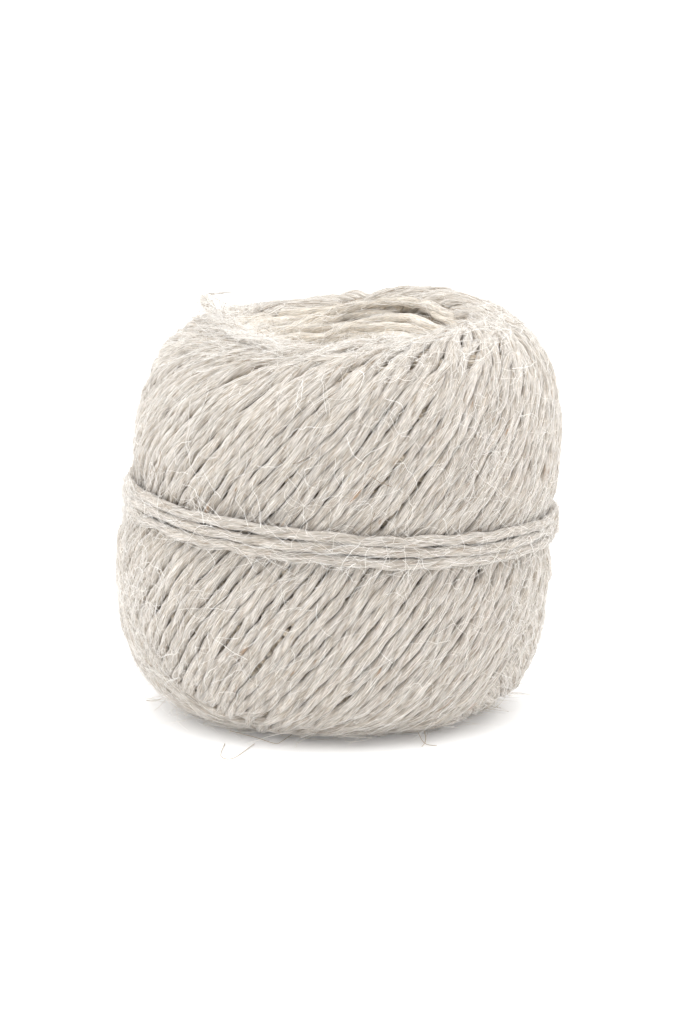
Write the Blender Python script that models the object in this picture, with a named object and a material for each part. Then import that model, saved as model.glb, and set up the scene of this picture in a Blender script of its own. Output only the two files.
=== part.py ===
"""Ball of natural twine, wound crosswise round an open middle, tied round the waist with three turns.

Units are metres and +Z is up. The origin is the centre of the flat spot that the ball rests on, and the
front of the ball faces -Y. The pieces are the wound ball, the waist band and the string's loose end.
"""

import bmesh
import bpy
import numpy as np

# Driving dimensions
STRING_DIAMETER = 0.002       # two-ply twine, as the turns lie
GAP = 0.0003                  # kept between neighbouring pieces
BALL_RADIUS = 0.0408          # at the waist, over the strands
HALF_HEIGHT = 0.0403
SIDE_POWER = 4.05             # how square the barrel's outline is, across and upwards
END_POWER = 4.1
SWELL = 0.0007                # the ball is this much wider a little below its waist
SWELL_PLACE = -0.010
SWELL_REACH = 0.012
TURNING_RADIUS = 0.0254       # circle that every turn touches at the top and at the bottom

# Slump
SLUMP = 0.0018                # the waist has slid this far to +X, and the top twice as far
SLUMP_REACH = 0.0134          # height over which most of that happens
BASE_SHIFT = 0.0012           # the base lies this far to +X of the lower half above it
RIM_TILT = 0.0545             # slope of the top rim, which climbs towards +X
RIM_SINK = 0.0015
RIM_WAVE = 0.0011             # the rim rises and dips by this much three times round
RIM_WAVES = 3
RIM_CREST = np.radians(50)    # longitude of one of its rises
NEAR_DIP = 0.0016             # the rim is pressed down this far at one place of its near side
NEAR_DIP_PLACE = np.radians(-70)
NEAR_DIP_REACH = 0.22         # how far the dip spreads: about 38 degrees either way

# Main twists
TWISTS = 32                   # raised twists in the outer layer
TWIST_HEIGHT = 0.0015         # from valley to crest
CREST_ANGLE = np.radians(25)  # a fold sharper than this is shaded as an edge
LAST_TURN = np.radians(5)     # longitude at which the newest turn crosses the waist, from +X
EDGE_ROWS = 4                 # rows of crossings left out where the turns crowd at their turning circle
EDGE_FADE = 0.8               # the twists flatten towards the turning circle by this power of a cosine

# Open middle
CORE_RADIUS = 0.0080
CORE_FLOOR = 0.042            # height of the blind end above the resting face
LIP_RADIUS = 0.0215
LIP_FALL = 0.0012             # how far the lip lies below the rim's crown
INNER_TURNS = 3               # turns that bulge from the funnel's wall below the lip
INNER_BULGE = 0.0014
PLAIN_STEPS = 3               # steps of the wall below the turns that bulge
WALL_CURVE = 0.8              # powers that bend the funnel's wall, across and downwards
WALL_FALL = 1.3

# Flat spot
FLAT_RADIUS = 0.0240

# Waist band
WAIST_TURNS = 3
WAIST_TILT = np.radians(4.2)  # lower towards +X
WAIST_RISE = 0.0010           # of the middle turn over the barrel's middle
WAIST_PITCH = 0.0021          # from one turn to the next
PINCH = 0.0019                # how far the band draws the ball in
PINCH_REACH = 0.0055
BAND_STEPS = 90
LOBE_ANGLES = np.radians((60, 20, -20, -60))  # points on the outside of one turn
BAND_EDGE = 0.9               # the band's flat back ends this share of a string's radius past its last turn

# Loose end
END_DIAMETER = 0.0022
END_ROUTE = (                 # longitude in degrees, distance from the axis, height over the turns' crests
    (-110, 0.0270, 0.0001),
    (-127, 0.0256, 0.0000),
    (-143, 0.0253, 0.0000),
    (-159, 0.0247, 0.0001),
    (-176, 0.0256, 0.0006),
    (-188, 0.0277, 0.0022),
)
END_POINTS = 16
KNOT_STEPS = 20               # points laid between two places of the route before they are spread evenly

TWINE_COLOUR = (0.585, 0.520, 0.440, 1.0)
BAND_COLOUR = (0.610, 0.550, 0.470, 1.0)
END_COLOUR = (0.640, 0.590, 0.520, 1.0)
TWINE_ROUGHNESS = 0.9

# Fineness of the tables that the forms are read from
TABLE_STEPS = 4000
NORMAL_STEP = 0.0001
TANGENT_MARGIN = 1.000001     # keeps the climb finite where a turn touches its turning circle
RIM_SAMPLES = 40
RIM_START = 0.7               # share of the turning height from which the rim's outline is read


def clear_scene():
    """Removes every object that the file opened with."""
    for thing in list(bpy.data.objects):
        bpy.data.objects.remove(thing, do_unlink=True)


def twine(name, colour):
    """A matt fibre material in one colour."""
    made = bpy.data.materials.new(name)
    made.use_nodes = True
    shader = made.node_tree.nodes["Principled BSDF"]
    shader.inputs["Base Color"].default_value = colour
    shader.inputs["Roughness"].default_value = TWINE_ROUGHNESS
    shader.inputs["Metallic"].default_value = 0.0
    return made


def barrel_radius(height):
    """Radius of the barrel at a height over its middle."""
    rest = 1.0 - np.abs(height / HALF_HEIGHT) ** END_POWER
    swell = SWELL * np.exp(-(((height - SWELL_PLACE) / SWELL_REACH) ** 2))
    return BALL_RADIUS * np.maximum(rest, 0.0) ** (1.0 / SIDE_POWER) + swell


def barrel_normal(height):
    """Outward direction of the barrel's outline, as its parts away from the axis and upwards."""
    widening = barrel_radius(height + NORMAL_STEP) - barrel_radius(height - NORMAL_STEP)
    length = np.hypot(2 * NORMAL_STEP, widening)
    return 2 * NORMAL_STEP / length, -widening / length


def turn_table():
    """Heights from waist to turning circle, and the longitude that a taut turn covers on its way up."""
    share = 1.0 - (TURNING_RADIUS / BALL_RADIUS) ** SIDE_POWER
    turning_height = HALF_HEIGHT * share ** (1.0 / END_POWER)
    heights = turning_height * np.sin(np.linspace(0.0, np.pi / 2, TABLE_STEPS))
    radii = barrel_radius(heights)
    middle = np.maximum((radii[1:] + radii[:-1]) / 2, TURNING_RADIUS * TANGENT_MARGIN)
    lengths = np.hypot(np.diff(heights), np.diff(radii))
    steps = lengths * TURNING_RADIUS / (middle * np.sqrt(middle ** 2 - TURNING_RADIUS ** 2))
    climb = np.concatenate(([0.0], np.cumsum(steps)))
    return heights, climb * (np.pi / 2) / climb[-1]


TURN_HEIGHTS, TURN_CLIMB = turn_table()
TURNING_HEIGHT = TURN_HEIGHTS[-1]


def height_at(climb):
    """Height over the middle where a turn is at this longitude from its crossing of the waist."""
    return np.sign(climb) * np.interp(abs(climb), TURN_CLIMB, TURN_HEIGHTS)


def settle(radius, longitude, height):
    """Places a point of the even barrel on the ball as it has slumped, with the floor at height 0."""
    across = radius * np.cos(longitude)
    upper = np.clip(height / HALF_HEIGHT, 0.0, 1.0) ** 2
    lower = np.clip(-height / TURNING_HEIGHT, 0.0, 1.0) ** 2
    slide = SLUMP * (np.tanh(height / SLUMP_REACH) + 1.0) - BASE_SHIFT * (1.0 - lower)
    wave = RIM_WAVE * np.cos(RIM_WAVES * (longitude - RIM_CREST))
    dip = NEAR_DIP * np.exp((np.cos(longitude - NEAR_DIP_PLACE) - 1.0) / NEAR_DIP_REACH)
    return (
        across + slide,
        radius * np.sin(longitude),
        TURNING_HEIGHT + height + upper * (RIM_TILT * across - RIM_SINK + wave - dip),
    )


def waist_height(longitude):
    """Height of the band's middle turn over the barrel's middle."""
    return WAIST_RISE - np.tan(WAIST_TILT) * BALL_RADIUS * np.cos(longitude)


def pinch(longitude, height):
    """How far the waist band draws the surface in at this place."""
    below = height - waist_height(longitude)
    return PINCH * np.exp(-((below / PINCH_REACH) ** 2))


def twist(longitude, climb):
    """Height of the main twists, from -1 in a valley to 1 on a crest, along the newer of two turns."""
    rising = longitude - climb
    falling = longitude - np.pi + climb
    rising_age = (LAST_TURN - rising) % (2 * np.pi)
    falling_age = (LAST_TURN - falling) % (2 * np.pi)
    newer = rising if rising_age < falling_age else falling
    return np.cos(TWISTS * newer)


def outer_ring(row, rows, columns):
    """One ring of the outer layer, whose points lie where rising and falling turns cross."""
    climb = -np.pi / 2 + np.pi * row / rows
    height = height_at(climb)
    radius = barrel_radius(height)
    across, upwards = barrel_normal(height)
    fade = np.cos(climb) ** EDGE_FADE
    ring = []
    for column in range(columns):
        longitude = 2 * np.pi * (column + (row % 2) / 2) / columns
        rise = TWIST_HEIGHT / 2 * (fade * twist(longitude, climb) - 1.0)
        drawn = pinch(longitude, height)
        x, y, z = settle(radius + across * rise - drawn, longitude, height + upwards * rise)
        ring.append((x, y, max(z, 0.0)))
    return ring


def even_ring(radius, height, columns):
    """One round ring, at a height over the barrel's middle."""
    return [settle(radius, 2 * np.pi * column / columns, height) for column in range(columns)]


def funnel_profile():
    """Radius and height of the rings from the rim's crown down to the blind end of the open middle."""
    wall_top = TURNING_HEIGHT - LIP_FALL
    wall = wall_top - (CORE_FLOOR - TURNING_HEIGHT)
    profile = [((LIP_RADIUS + TURNING_RADIUS) / 2, TURNING_HEIGHT), (LIP_RADIUS, wall_top)]
    bulging = 2 * INNER_TURNS
    steps = bulging + PLAIN_STEPS
    for step in range(1, steps + 1):
        share = step / steps
        radius = LIP_RADIUS + (CORE_RADIUS - LIP_RADIUS) * share ** WALL_CURVE
        bulge = INNER_BULGE if step % 2 == 0 and step <= bulging else 0.0
        profile.append((radius - bulge, wall_top - wall * share ** WALL_FALL))
    return profile


def rim_height(radius):
    """Height of the rim's top over the barrel's middle at a distance from the axis."""
    lip = funnel_profile()[:2]
    outer = np.linspace(TURNING_HEIGHT, RIM_START * TURNING_HEIGHT, RIM_SAMPLES)
    radii = [r for r, _ in reversed(lip)] + list(barrel_radius(outer))
    heights = [h for _, h in reversed(lip)] + list(outer)
    return np.interp(radius, radii, heights)


def join_diamonds(body, rings):
    """Joins rings whose points are staggered by diamonds, with a row of triangles at either end."""
    count = len(rings[0])
    for row, (low, high, top) in enumerate(zip(rings, rings[1:], rings[2:])):
        shift = row % 2
        for j in range(count):
            right = high[(j + shift) % count]
            left = high[j - 1 + shift]
            body.faces.new((low[j], right, top[j], left))
    for j in range(count):
        after = (j + 1) % count
        body.faces.new((rings[0][j], rings[0][after], rings[1][j]))
        body.faces.new((rings[-2][j], rings[-1][after], rings[-1][j]))


def join_rings(body, rings):
    """Joins each ring to the next one by four-sided faces."""
    count = len(rings[0])
    for low, high in zip(rings, rings[1:]):
        for j in range(count):
            after = (j + 1) % count
            body.faces.new((low[j], low[after], high[after], high[j]))


def add_object(name, body, material, collection):
    """Turns a finished body into a smooth-shaded object."""
    mesh = bpy.data.meshes.new(name)
    body.to_mesh(mesh)
    body.free()
    mesh.shade_smooth()
    mesh.set_sharp_from_angle(angle=CREST_ANGLE)
    mesh.materials.append(material)
    made = bpy.data.objects.new(name, mesh)
    collection.objects.link(made)
    return made


def make_ball(collection):
    """The wound ball: crossed twists outside, an open middle at the top and a flat spot below."""
    columns = 2 * TWISTS
    rows = 2 * TWISTS
    body = bmesh.new()
    outer = [outer_ring(row, rows, columns) for row in range(EDGE_ROWS, rows - EDGE_ROWS + 1)]
    outer = [[body.verts.new(point) for point in ring] for ring in outer]
    join_diamonds(body, outer)
    flat = [body.verts.new(point) for point in even_ring(FLAT_RADIUS, -TURNING_HEIGHT, columns)]
    join_rings(body, [flat, outer[0]])
    body.faces.new(list(reversed(flat)))
    inner = [
        [body.verts.new(point) for point in even_ring(radius, height, columns)]
        for radius, height in funnel_profile()
    ]
    join_rings(body, [outer[-1]] + inner)
    body.faces.new(inner[-1])
    add_object("wound_ball", body, twine("natural_twine", TWINE_COLOUR), collection)


def make_band(collection):
    """The waist band: three turns side by side, tied tight enough to draw the ball in."""
    half_width = (WAIST_TURNS - 1) / 2 * WAIST_PITCH
    radius = STRING_DIAMETER / 2
    section = [(0.0, half_width + BAND_EDGE * radius)]
    for turn in range(WAIST_TURNS):
        middle = half_width - turn * WAIST_PITCH
        section += [(radius * (1 + np.cos(a)), middle + radius * np.sin(a)) for a in LOBE_ANGLES]
    section.append((0.0, -half_width - BAND_EDGE * radius))
    drawn = PINCH * np.exp(-((section[0][1] / PINCH_REACH) ** 2))
    body = bmesh.new()
    rings = []
    for step in range(BAND_STEPS):
        longitude = 2 * np.pi * step / BAND_STEPS
        height = waist_height(longitude)
        inside = barrel_radius(height) - drawn + GAP
        ring = [settle(inside + out, longitude, height + up) for out, up in section]
        rings.append([body.verts.new(point) for point in ring])
    join_rings(body, rings + rings[:1])
    add_object("waist_band", body, twine("waist_twine", BAND_COLOUR), collection)


def smooth_route(knots, count):
    """Points evenly spread along a smooth curve through the knots."""
    knots = np.array(knots)
    padded = np.vstack((2 * knots[0] - knots[1], knots, 2 * knots[-1] - knots[-2]))
    dense = []
    for a, b, c, d in zip(padded, padded[1:], padded[2:], padded[3:]):
        for t in np.linspace(0.0, 1.0, KNOT_STEPS, endpoint=False):
            bend = (2 * a - 5 * b + 4 * c - d) * t ** 2 + (3 * b - a - 3 * c + d) * t ** 3
            dense.append((2 * b + (c - a) * t + bend) / 2)
    dense = np.array(dense + [knots[-1]])
    along = np.concatenate(([0.0], np.cumsum(np.linalg.norm(np.diff(dense, axis=0), axis=1))))
    wanted = np.linspace(0.0, along[-1], count)
    return np.column_stack([np.interp(wanted, along, dense[:, k]) for k in range(3)])


def make_loose_end(collection):
    """The string's free end, which lies over the rim and sticks out past it."""
    knots = []
    for degrees, radius, over in END_ROUTE:
        x, y, z = settle(radius, np.radians(degrees), rim_height(radius))
        knots.append((x, y, z + END_DIAMETER / 2 + over))
    points = smooth_route(knots, END_POINTS)
    curve = bpy.data.curves.new("loose_end", "CURVE")
    curve.dimensions = "3D"
    curve.bevel_depth = END_DIAMETER / 2
    curve.bevel_resolution = 2
    curve.use_fill_caps = True
    spline = curve.splines.new("POLY")
    spline.points.add(len(points) - 1)
    for point, place in zip(spline.points, points):
        point.co = (*place, 1.0)
    curve.materials.append(twine("end_twine", END_COLOUR))
    collection.objects.link(bpy.data.objects.new("loose_end", curve))


def main():
    clear_scene()
    collection = bpy.data.collections.new("ball_of_string")
    bpy.context.scene.collection.children.link(collection)
    make_ball(collection)
    make_band(collection)
    make_loose_end(collection)


main()
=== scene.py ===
import bpy
import numpy as np
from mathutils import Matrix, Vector


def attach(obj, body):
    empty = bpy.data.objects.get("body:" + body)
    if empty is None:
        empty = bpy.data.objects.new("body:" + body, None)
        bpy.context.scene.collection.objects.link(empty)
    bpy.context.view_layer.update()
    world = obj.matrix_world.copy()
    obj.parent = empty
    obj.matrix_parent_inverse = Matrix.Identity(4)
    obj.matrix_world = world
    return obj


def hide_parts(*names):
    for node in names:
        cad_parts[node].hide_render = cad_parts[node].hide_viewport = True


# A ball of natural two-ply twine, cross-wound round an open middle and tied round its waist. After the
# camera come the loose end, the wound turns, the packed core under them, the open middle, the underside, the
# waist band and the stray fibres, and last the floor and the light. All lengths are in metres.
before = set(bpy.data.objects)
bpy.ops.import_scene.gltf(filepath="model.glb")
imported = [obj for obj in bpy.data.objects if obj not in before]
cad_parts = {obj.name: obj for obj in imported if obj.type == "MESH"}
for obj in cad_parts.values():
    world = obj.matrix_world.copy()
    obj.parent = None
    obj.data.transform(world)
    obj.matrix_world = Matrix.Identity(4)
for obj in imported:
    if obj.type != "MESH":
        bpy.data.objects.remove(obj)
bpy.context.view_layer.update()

# The camera
# It looks at the front of the ball, a little from above and from far enough to flatten the view.
FRAME_PIXELS = (682, 1024)
PIXELS_PER_METRE = 5240.0
CAMERA_DISTANCE = 1.2
CAMERA_ELEVATION = np.radians(12.5)
CAMERA_TARGET = Vector((0.0009, 0.0, 0.0379))
SENSOR_SIDE = 36.0

camera_data = bpy.data.cameras.new("camera")
camera_data.sensor_width = SENSOR_SIDE
camera_data.lens = SENSOR_SIDE * PIXELS_PER_METRE * CAMERA_DISTANCE / FRAME_PIXELS[1]
camera = bpy.data.objects.new("camera", camera_data)
camera_back = Vector((0.0, -np.cos(CAMERA_ELEVATION), np.sin(CAMERA_ELEVATION)))
camera.location = CAMERA_TARGET + CAMERA_DISTANCE * camera_back
camera.rotation_euler = (-camera_back).to_track_quat("-Z", "Y").to_euler()
bpy.context.scene.collection.objects.link(camera)
bpy.context.scene.camera = camera

# The loose end
# The free end of the string, frayed, lies over the left of the rim and sticks out past it.
# Two plies of bast fibre, laid S-wise, with nothing at the tip.
STRING_DIAMETER = 0.002

# The form that the string is wound into: a barrel with a slight swell, which has slumped to one side. Its rim
# tilts, waves and dips in front.
BALL_RADIUS = 0.0408
HALF_HEIGHT = 0.0403
SIDE_POWER = 4.05
END_POWER = 4.1
SWELL = 0.0007
SWELL_PLACE = -0.010
SWELL_REACH = 0.012
TURNING_RADIUS = 0.0254
SLUMP = 0.0018
SLUMP_REACH = 0.0134
BASE_SHIFT = 0.0012
RIM_TILT = 0.0545
RIM_SINK = 0.0015
RIM_WAVE = 0.0011
RIM_WAVES = 3
RIM_CREST = np.radians(50)
NEAR_DIP = 0.0016
NEAR_DIP_PLACE = np.radians(-70)
NEAR_DIP_REACH = 0.22
LIP_RADIUS = 0.0215
LIP_FALL = 0.0012
RIM_TABLE_DEPTH = 0.7
RIM_TABLE_STEPS = 40
TURNING_HEIGHT = HALF_HEIGHT * (1.0 - (TURNING_RADIUS / BALL_RADIUS) ** SIDE_POWER) ** (1.0 / END_POWER)

# The end's own course.
END_DIAMETER = 0.0022
END_SINK = 0.0024
END_SINK_LENGTH = 0.009
END_REST = 0.0007
END_TIP_LENGTH = 0.011
END_STEP = 0.0006
END_UNEVEN = 0.05
# Degrees round the ball, distance from its axis, and height over the rim there.
END_ROUTE = (
    (-110, 0.0270, 0.0001),
    (-127, 0.0256, 0.0000),
    (-143, 0.0253, 0.0000),
    (-159, 0.0247, 0.0001),
    (-176, 0.0256, 0.0006),
    (-188, 0.0277, 0.0022),
)

# How the string is laid: one turn of its plies in this length, uneven in thickness and in lay over these
# wavelengths. A fibre turns less than its ply, and each length has its own tone.
LAY_LENGTH = 0.0125
FIBRE_TURN = 0.8
THICKNESS_WAVES = (0.0052, 0.0093, 0.017, 0.041)
LAY_WANDER = 0.5
LAY_WAVES = (0.017, 0.037)
LOBE_POWER = 4.0
ROUTE_DETAIL = 20
TONE_SPREAD = 0.5
TONE_APART = 9.0
PLIES_APART = 3.7
PATH_VALUES = ("thickness", "lay_angle", "run", "tone")
FLECK_COLOUR = (0.30, 0.165, 0.075, 1.0)
FIBRE_RELIEF = 0.00022


class Wire:
    """An output of a node that takes Python's own signs."""

    def __init__(self, tree, socket):
        self.tree = tree
        self.socket = socket

    def math(self, operation, *values):
        return self.tree.add("ShaderNodeMath", {"operation": operation}, dict(enumerate(values))).out()

    def __add__(self, other):
        return self.math("ADD", self, other)

    def __sub__(self, other):
        return self.math("SUBTRACT", self, other)

    def __mul__(self, other):
        return self.math("MULTIPLY", self, other)

    def __pow__(self, other):
        return self.math("POWER", self, other)

    def __rsub__(self, other):
        return self.math("SUBTRACT", other, self)

    def __abs__(self):
        return self.math("ABSOLUTE", self)

    __radd__ = __add__
    __rmul__ = __mul__


class Placed:
    """A node in a tree, whose outputs are asked for by name."""

    def __init__(self, tree, node):
        self.tree = tree
        self.node = node

    def out(self, name=None):
        fits = [s for s in self.node.outputs if s.enabled and name in (None, s.name)]
        return Wire(self.tree, fits[0])


class Tree:
    """A node tree under construction."""

    def __init__(self, tree):
        self.tree = tree

    def add(self, kind, settings=None, inputs=None):
        """Adds a node: its settings first, then the value or link of each input, by name or by number."""
        node = self.tree.nodes.new(kind)
        for key, value in (settings or {}).items():
            if key == "stops":
                ramp = node.color_ramp.elements
                while len(ramp) < len(value):
                    ramp.new(1.0)
                for stop, (place, colour) in zip(ramp, value):
                    stop.position = place
                    stop.color = colour
            else:
                setattr(node, key, value)
        for key, value in (inputs or {}).items():
            if isinstance(key, int):
                socket = node.inputs[key]
            else:
                socket = next(s for s in node.inputs if s.enabled and s.name == key)
            if isinstance(value, Wire):
                self.tree.links.new(value.socket, socket)
            else:
                socket.default_value = value
        return Placed(self, node)


def geometry_tree(name, inputs):
    """A Geometry Nodes tree with a geometry in and out and the named inputs, and its input node."""
    group = bpy.data.node_groups.new(name, "GeometryNodeTree")
    group.interface.new_socket("Geometry", in_out="INPUT", socket_type="NodeSocketGeometry")
    for label, kind in inputs.items():
        group.interface.new_socket(label, in_out="INPUT", socket_type="NodeSocket" + kind)
    group.interface.new_socket("Geometry", in_out="OUTPUT", socket_type="NodeSocketGeometry")
    tree = Tree(group)
    return tree, tree.add("NodeGroupInput")


def close_tree(tree, shape, material):
    """Ends a tree with real geometry, smooth shading and its material."""
    real = tree.add("GeometryNodeRealizeInstances", None, {"Geometry": shape}).out()
    smooth = tree.add("GeometryNodeSetShadeSmooth", None, {"Geometry": real}).out()
    dressed = tree.add("GeometryNodeSetMaterial", None, {"Geometry": smooth, "Material": material}).out()
    tree.add("NodeGroupOutput", None, {"Geometry": dressed})


def run_tree(name, mesh, group, values):
    """Runs a tree on a mesh and returns a plain mesh object with the result."""
    source = bpy.data.objects.new(name + "_source", mesh)
    bpy.context.scene.collection.objects.link(source)
    modifier = source.modifiers.new("nodes", "NODES")
    modifier.node_group = group
    for item in group.interface.items_tree:
        if item.item_type == "SOCKET" and item.in_out == "INPUT" and item.name in values:
            modifier[item.identifier] = values[item.name]
    evaluated = source.evaluated_get(bpy.context.evaluated_depsgraph_get())
    made = bpy.data.objects.new(name, bpy.data.meshes.new_from_object(evaluated))
    made.data.name = name
    bpy.data.objects.remove(source, do_unlink=True)
    bpy.context.scene.collection.objects.link(made)
    return made


# The string's own tree: a two-lobed section is swept along each path and turned as it goes, which lays
# the two plies round each other.
string_tree, string_in = geometry_tree("lay_string", {
    "Diameter": "Float", "Groove": "Float", "Sides": "Int", "Material": "Material",
})
path = string_tree.add("GeometryNodeMeshToCurve", None, {"Mesh": string_in.out("Geometry")}).out()
thickness, lay_angle = [
    string_tree.add(
        "GeometryNodeInputNamedAttribute", {"data_type": "FLOAT"}, {"Name": label}
    ).out("Attribute")
    for label in ("thickness", "lay_angle")
]
path = string_tree.add("GeometryNodeSetCurveTilt", None, {"Curve": path, "Tilt": lay_angle}).out()
section = string_tree.add(
    "GeometryNodeCurvePrimitiveCircle", None, {"Resolution": string_in.out("Sides"), "Radius": 1.0}
).out("Curve")
place = string_tree.add("GeometryNodeInputPosition").out()
section = string_tree.add(
    "GeometryNodeStoreNamedAttribute", {"data_type": "FLOAT_VECTOR", "domain": "POINT"},
    {"Geometry": section, "Name": "ply", "Value": place},
).out()
side = string_tree.add("ShaderNodeSeparateXYZ", None, {"Vector": place}).out("Y")
lobe = 1.0 - string_in.out("Groove") * abs(side) ** LOBE_POWER
lobed = string_tree.add(
    "ShaderNodeVectorMath", {"operation": "SCALE"}, {"Vector": place, "Scale": lobe}
).out()
section = string_tree.add("GeometryNodeSetPosition", None, {"Geometry": section, "Position": lobed}).out()
swept = string_tree.add("GeometryNodeCurveToMesh", None, {
    "Curve": path, "Profile Curve": section, "Fill Caps": True,
    "Scale": thickness * string_in.out("Diameter") * 0.5,
}).out()
close_tree(string_tree, swept, string_in.out("Material"))


def eased(share):
    """A share from 0 to 1, with a soft start and a soft end."""
    return share ** 2 * (3.0 - 2.0 * share)


def wander(along, size, wavelengths, chance):
    """A smooth random value along a length, of about this size."""
    total = np.zeros(len(along))
    for wavelength in wavelengths:
        total += np.sin(2 * np.pi * along / wavelength + chance.uniform(0.0, 2 * np.pi))
    return size * total * np.sqrt(2.0 / len(wavelengths))


def length_along(points):
    """Length from the first point to each point."""
    return np.concatenate(([0.0], np.cumsum(np.linalg.norm(np.diff(points, axis=0), axis=1))))


def even_steps(points, step):
    """The same path with its points at even steps."""
    along = length_along(points)
    wanted = np.linspace(0.0, along[-1], max(int(round(along[-1] / step)), 3) + 1)
    return np.column_stack([np.interp(wanted, along, column) for column in points.T])


def smooth_route(knots, step):
    """Points at even steps along a smooth curve through the knots."""
    knots = np.array(knots)
    padded = np.vstack((2 * knots[0] - knots[1], knots, 2 * knots[-1] - knots[-2]))
    dense = []
    for a, b, c, d in zip(padded, padded[1:], padded[2:], padded[3:]):
        for t in np.linspace(0.0, 1.0, ROUTE_DETAIL, endpoint=False):
            bend = (2 * a - 5 * b + 4 * c - d) * t ** 2 + (3 * b - a - 3 * c + d) * t ** 3
            dense.append(0.5 * (2 * b + (c - a) * t + bend))
    return even_steps(np.array(dense + [knots[-1]]), step)


def spun(points, chance, uneven=0.06, lay_length=LAY_LENGTH):
    """A length of string on these points: how thick, how far turned and how dark it is at each of them."""
    along = length_along(points)
    run = along + chance.uniform(0.0, 1.0)
    thick = 1.0 + wander(along, uneven, THICKNESS_WAVES, chance)
    turned = -2 * np.pi * run / lay_length + wander(along, LAY_WANDER, LAY_WAVES, chance)
    tone = np.full(len(along), chance.uniform(-TONE_SPREAD, TONE_SPREAD))
    return points, dict(zip(PATH_VALUES, (thick, turned, run, tone)))


def string_mesh(name, lengths):
    """All lengths of string of one piece as chains of edges, with their values at each point."""
    mesh = bpy.data.meshes.new(name + "_paths")
    counts = [len(points) for points, _ in lengths]
    starts = np.concatenate(([0], np.cumsum(counts)))
    edges = np.concatenate([
        np.column_stack((np.arange(a, b - 1), np.arange(a + 1, b))) for a, b in zip(starts, starts[1:])
    ])
    mesh.vertices.add(starts[-1])
    mesh.vertices.foreach_set("co", np.concatenate([points for points, _ in lengths]).ravel())
    mesh.edges.add(len(edges))
    mesh.edges.foreach_set("vertices", edges.ravel())
    for label in PATH_VALUES:
        values = np.concatenate([each[label] for _, each in lengths])
        mesh.attributes.new(label, "FLOAT", "POINT").data.foreach_set("value", values)
    return mesh


def lay_string(name, lengths, finish, diameter=STRING_DIAMETER, groove=0.25, sides=12):
    """Sweeps the string along its paths as one plain mesh."""
    return run_tree(name, string_mesh(name, lengths), string_tree.tree, {
        "Diameter": diameter, "Groove": groove, "Sides": sides, "Material": finish,
    })


def twine_finish(name, pale, body, shade, fleck_level):
    """Matt bast fibre: pale and dark streaks along the fibres, painted shade in the groove between the plies,
    with brown flecks.
    """
    pale, body, shade = [colour + (1.0,) for colour in (pale, body, shade)]
    material = bpy.data.materials.new(name)
    material.use_nodes = True
    material.node_tree.nodes.clear()
    tree = Tree(material.node_tree)
    ply = tree.add("ShaderNodeAttribute", {"attribute_name": "ply"}).out("Vector")
    run = tree.add("ShaderNodeAttribute", {"attribute_name": "run"}).out("Fac")
    tone = tree.add("ShaderNodeAttribute", {"attribute_name": "tone"}).out("Fac")
    lay = tree.add("ShaderNodeAttribute", {"attribute_name": "lay_angle"}).out("Fac")
    parts = tree.add("ShaderNodeSeparateXYZ", None, {"Vector": ply})
    groove = abs(parts.out("Y"))
    straight = tree.add("ShaderNodeVectorRotate", {"rotation_type": "Z_AXIS"}, {
        "Vector": ply, "Angle": lay * FIBRE_TURN,
    }).out()
    parts_straight = tree.add("ShaderNodeSeparateXYZ", None, {"Vector": straight})
    which_ply = parts.out("X").math("SIGN", parts.out("X"))
    along = run + tone * TONE_APART + which_ply * PLIES_APART

    def streaks(fineness, stretch, detail):
        """Noise drawn out along the fibres."""
        vector = tree.add("ShaderNodeCombineXYZ", None, {
            "X": parts_straight.out("X") * fineness, "Y": parts_straight.out("Y") * fineness,
            "Z": along * stretch,
        }).out()
        return tree.add("ShaderNodeTexNoise", None, {
            "Vector": vector, "Scale": 1.0, "Detail": detail, "Roughness": 0.65,
        }).out("Fac")

    def blend(share, low, high):
        """A colour between two."""
        mixed = tree.add("ShaderNodeMix", {"data_type": "RGBA"}, {"Factor": share, "A": low, "B": high})
        return mixed.out("Result")

    def between(value, low, high):
        """How far a value has come from low to high."""
        return tree.add("ShaderNodeMapRange", {"interpolation_type": "SMOOTHSTEP"}, {
            "Value": value, "From Min": low, "From Max": high,
        }).out()

    fine = streaks(6.5, 360.0, 3.0)
    broad = streaks(1.8, 130.0, 2.0)
    patch = streaks(0.3, 30.0, 1.0)
    grain = streaks(7.0, 420.0, 1.0)
    colour = blend(between(fine + (broad - 0.5) * 0.12, 0.44, 0.57), body, pale)
    colour = blend(between(0.5 - (fine - 0.5) - (broad - 0.5) * 0.12, 0.54, 0.68) * 0.9, colour, shade)
    # Painted shade: near the groove between the two plies the colour is drawn towards the shade colour, which
    # also serves the dark streaks.
    colour = blend(between(groove, 0.84, 1.0) * 0.3, colour, shade)
    fleck = between(streaks(0.6, 120.0, 1.0) + (fine - 0.5) * 0.5, fleck_level, fleck_level + 0.06)
    colour = blend(fleck * 0.8, colour, FLECK_COLOUR)
    lightness = 1.0 + tone * 0.10 + which_ply * 0.025 + (patch - 0.5) * 0.16 + (grain - 0.5) * 1.5
    colour = tree.add("ShaderNodeVectorMath", {"operation": "SCALE"}, {
        "Vector": colour, "Scale": lightness,
    }).out()
    bump = tree.add("ShaderNodeBump", None, {
        "Strength": 1.0, "Distance": FIBRE_RELIEF, "Height": fine + broad * 0.1,
    }).out()
    shader = tree.add("ShaderNodeBsdfPrincipled", None, {
        "Base Color": colour, "Roughness": 0.96 - fine * 0.16, "Normal": bump,
        "Specular IOR Level": 0.3, "Sheen Weight": 0.6, "Sheen Roughness": 0.4,
    })
    tree.add("ShaderNodeOutputMaterial", None, {"Surface": shader.out()})
    return material


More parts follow.
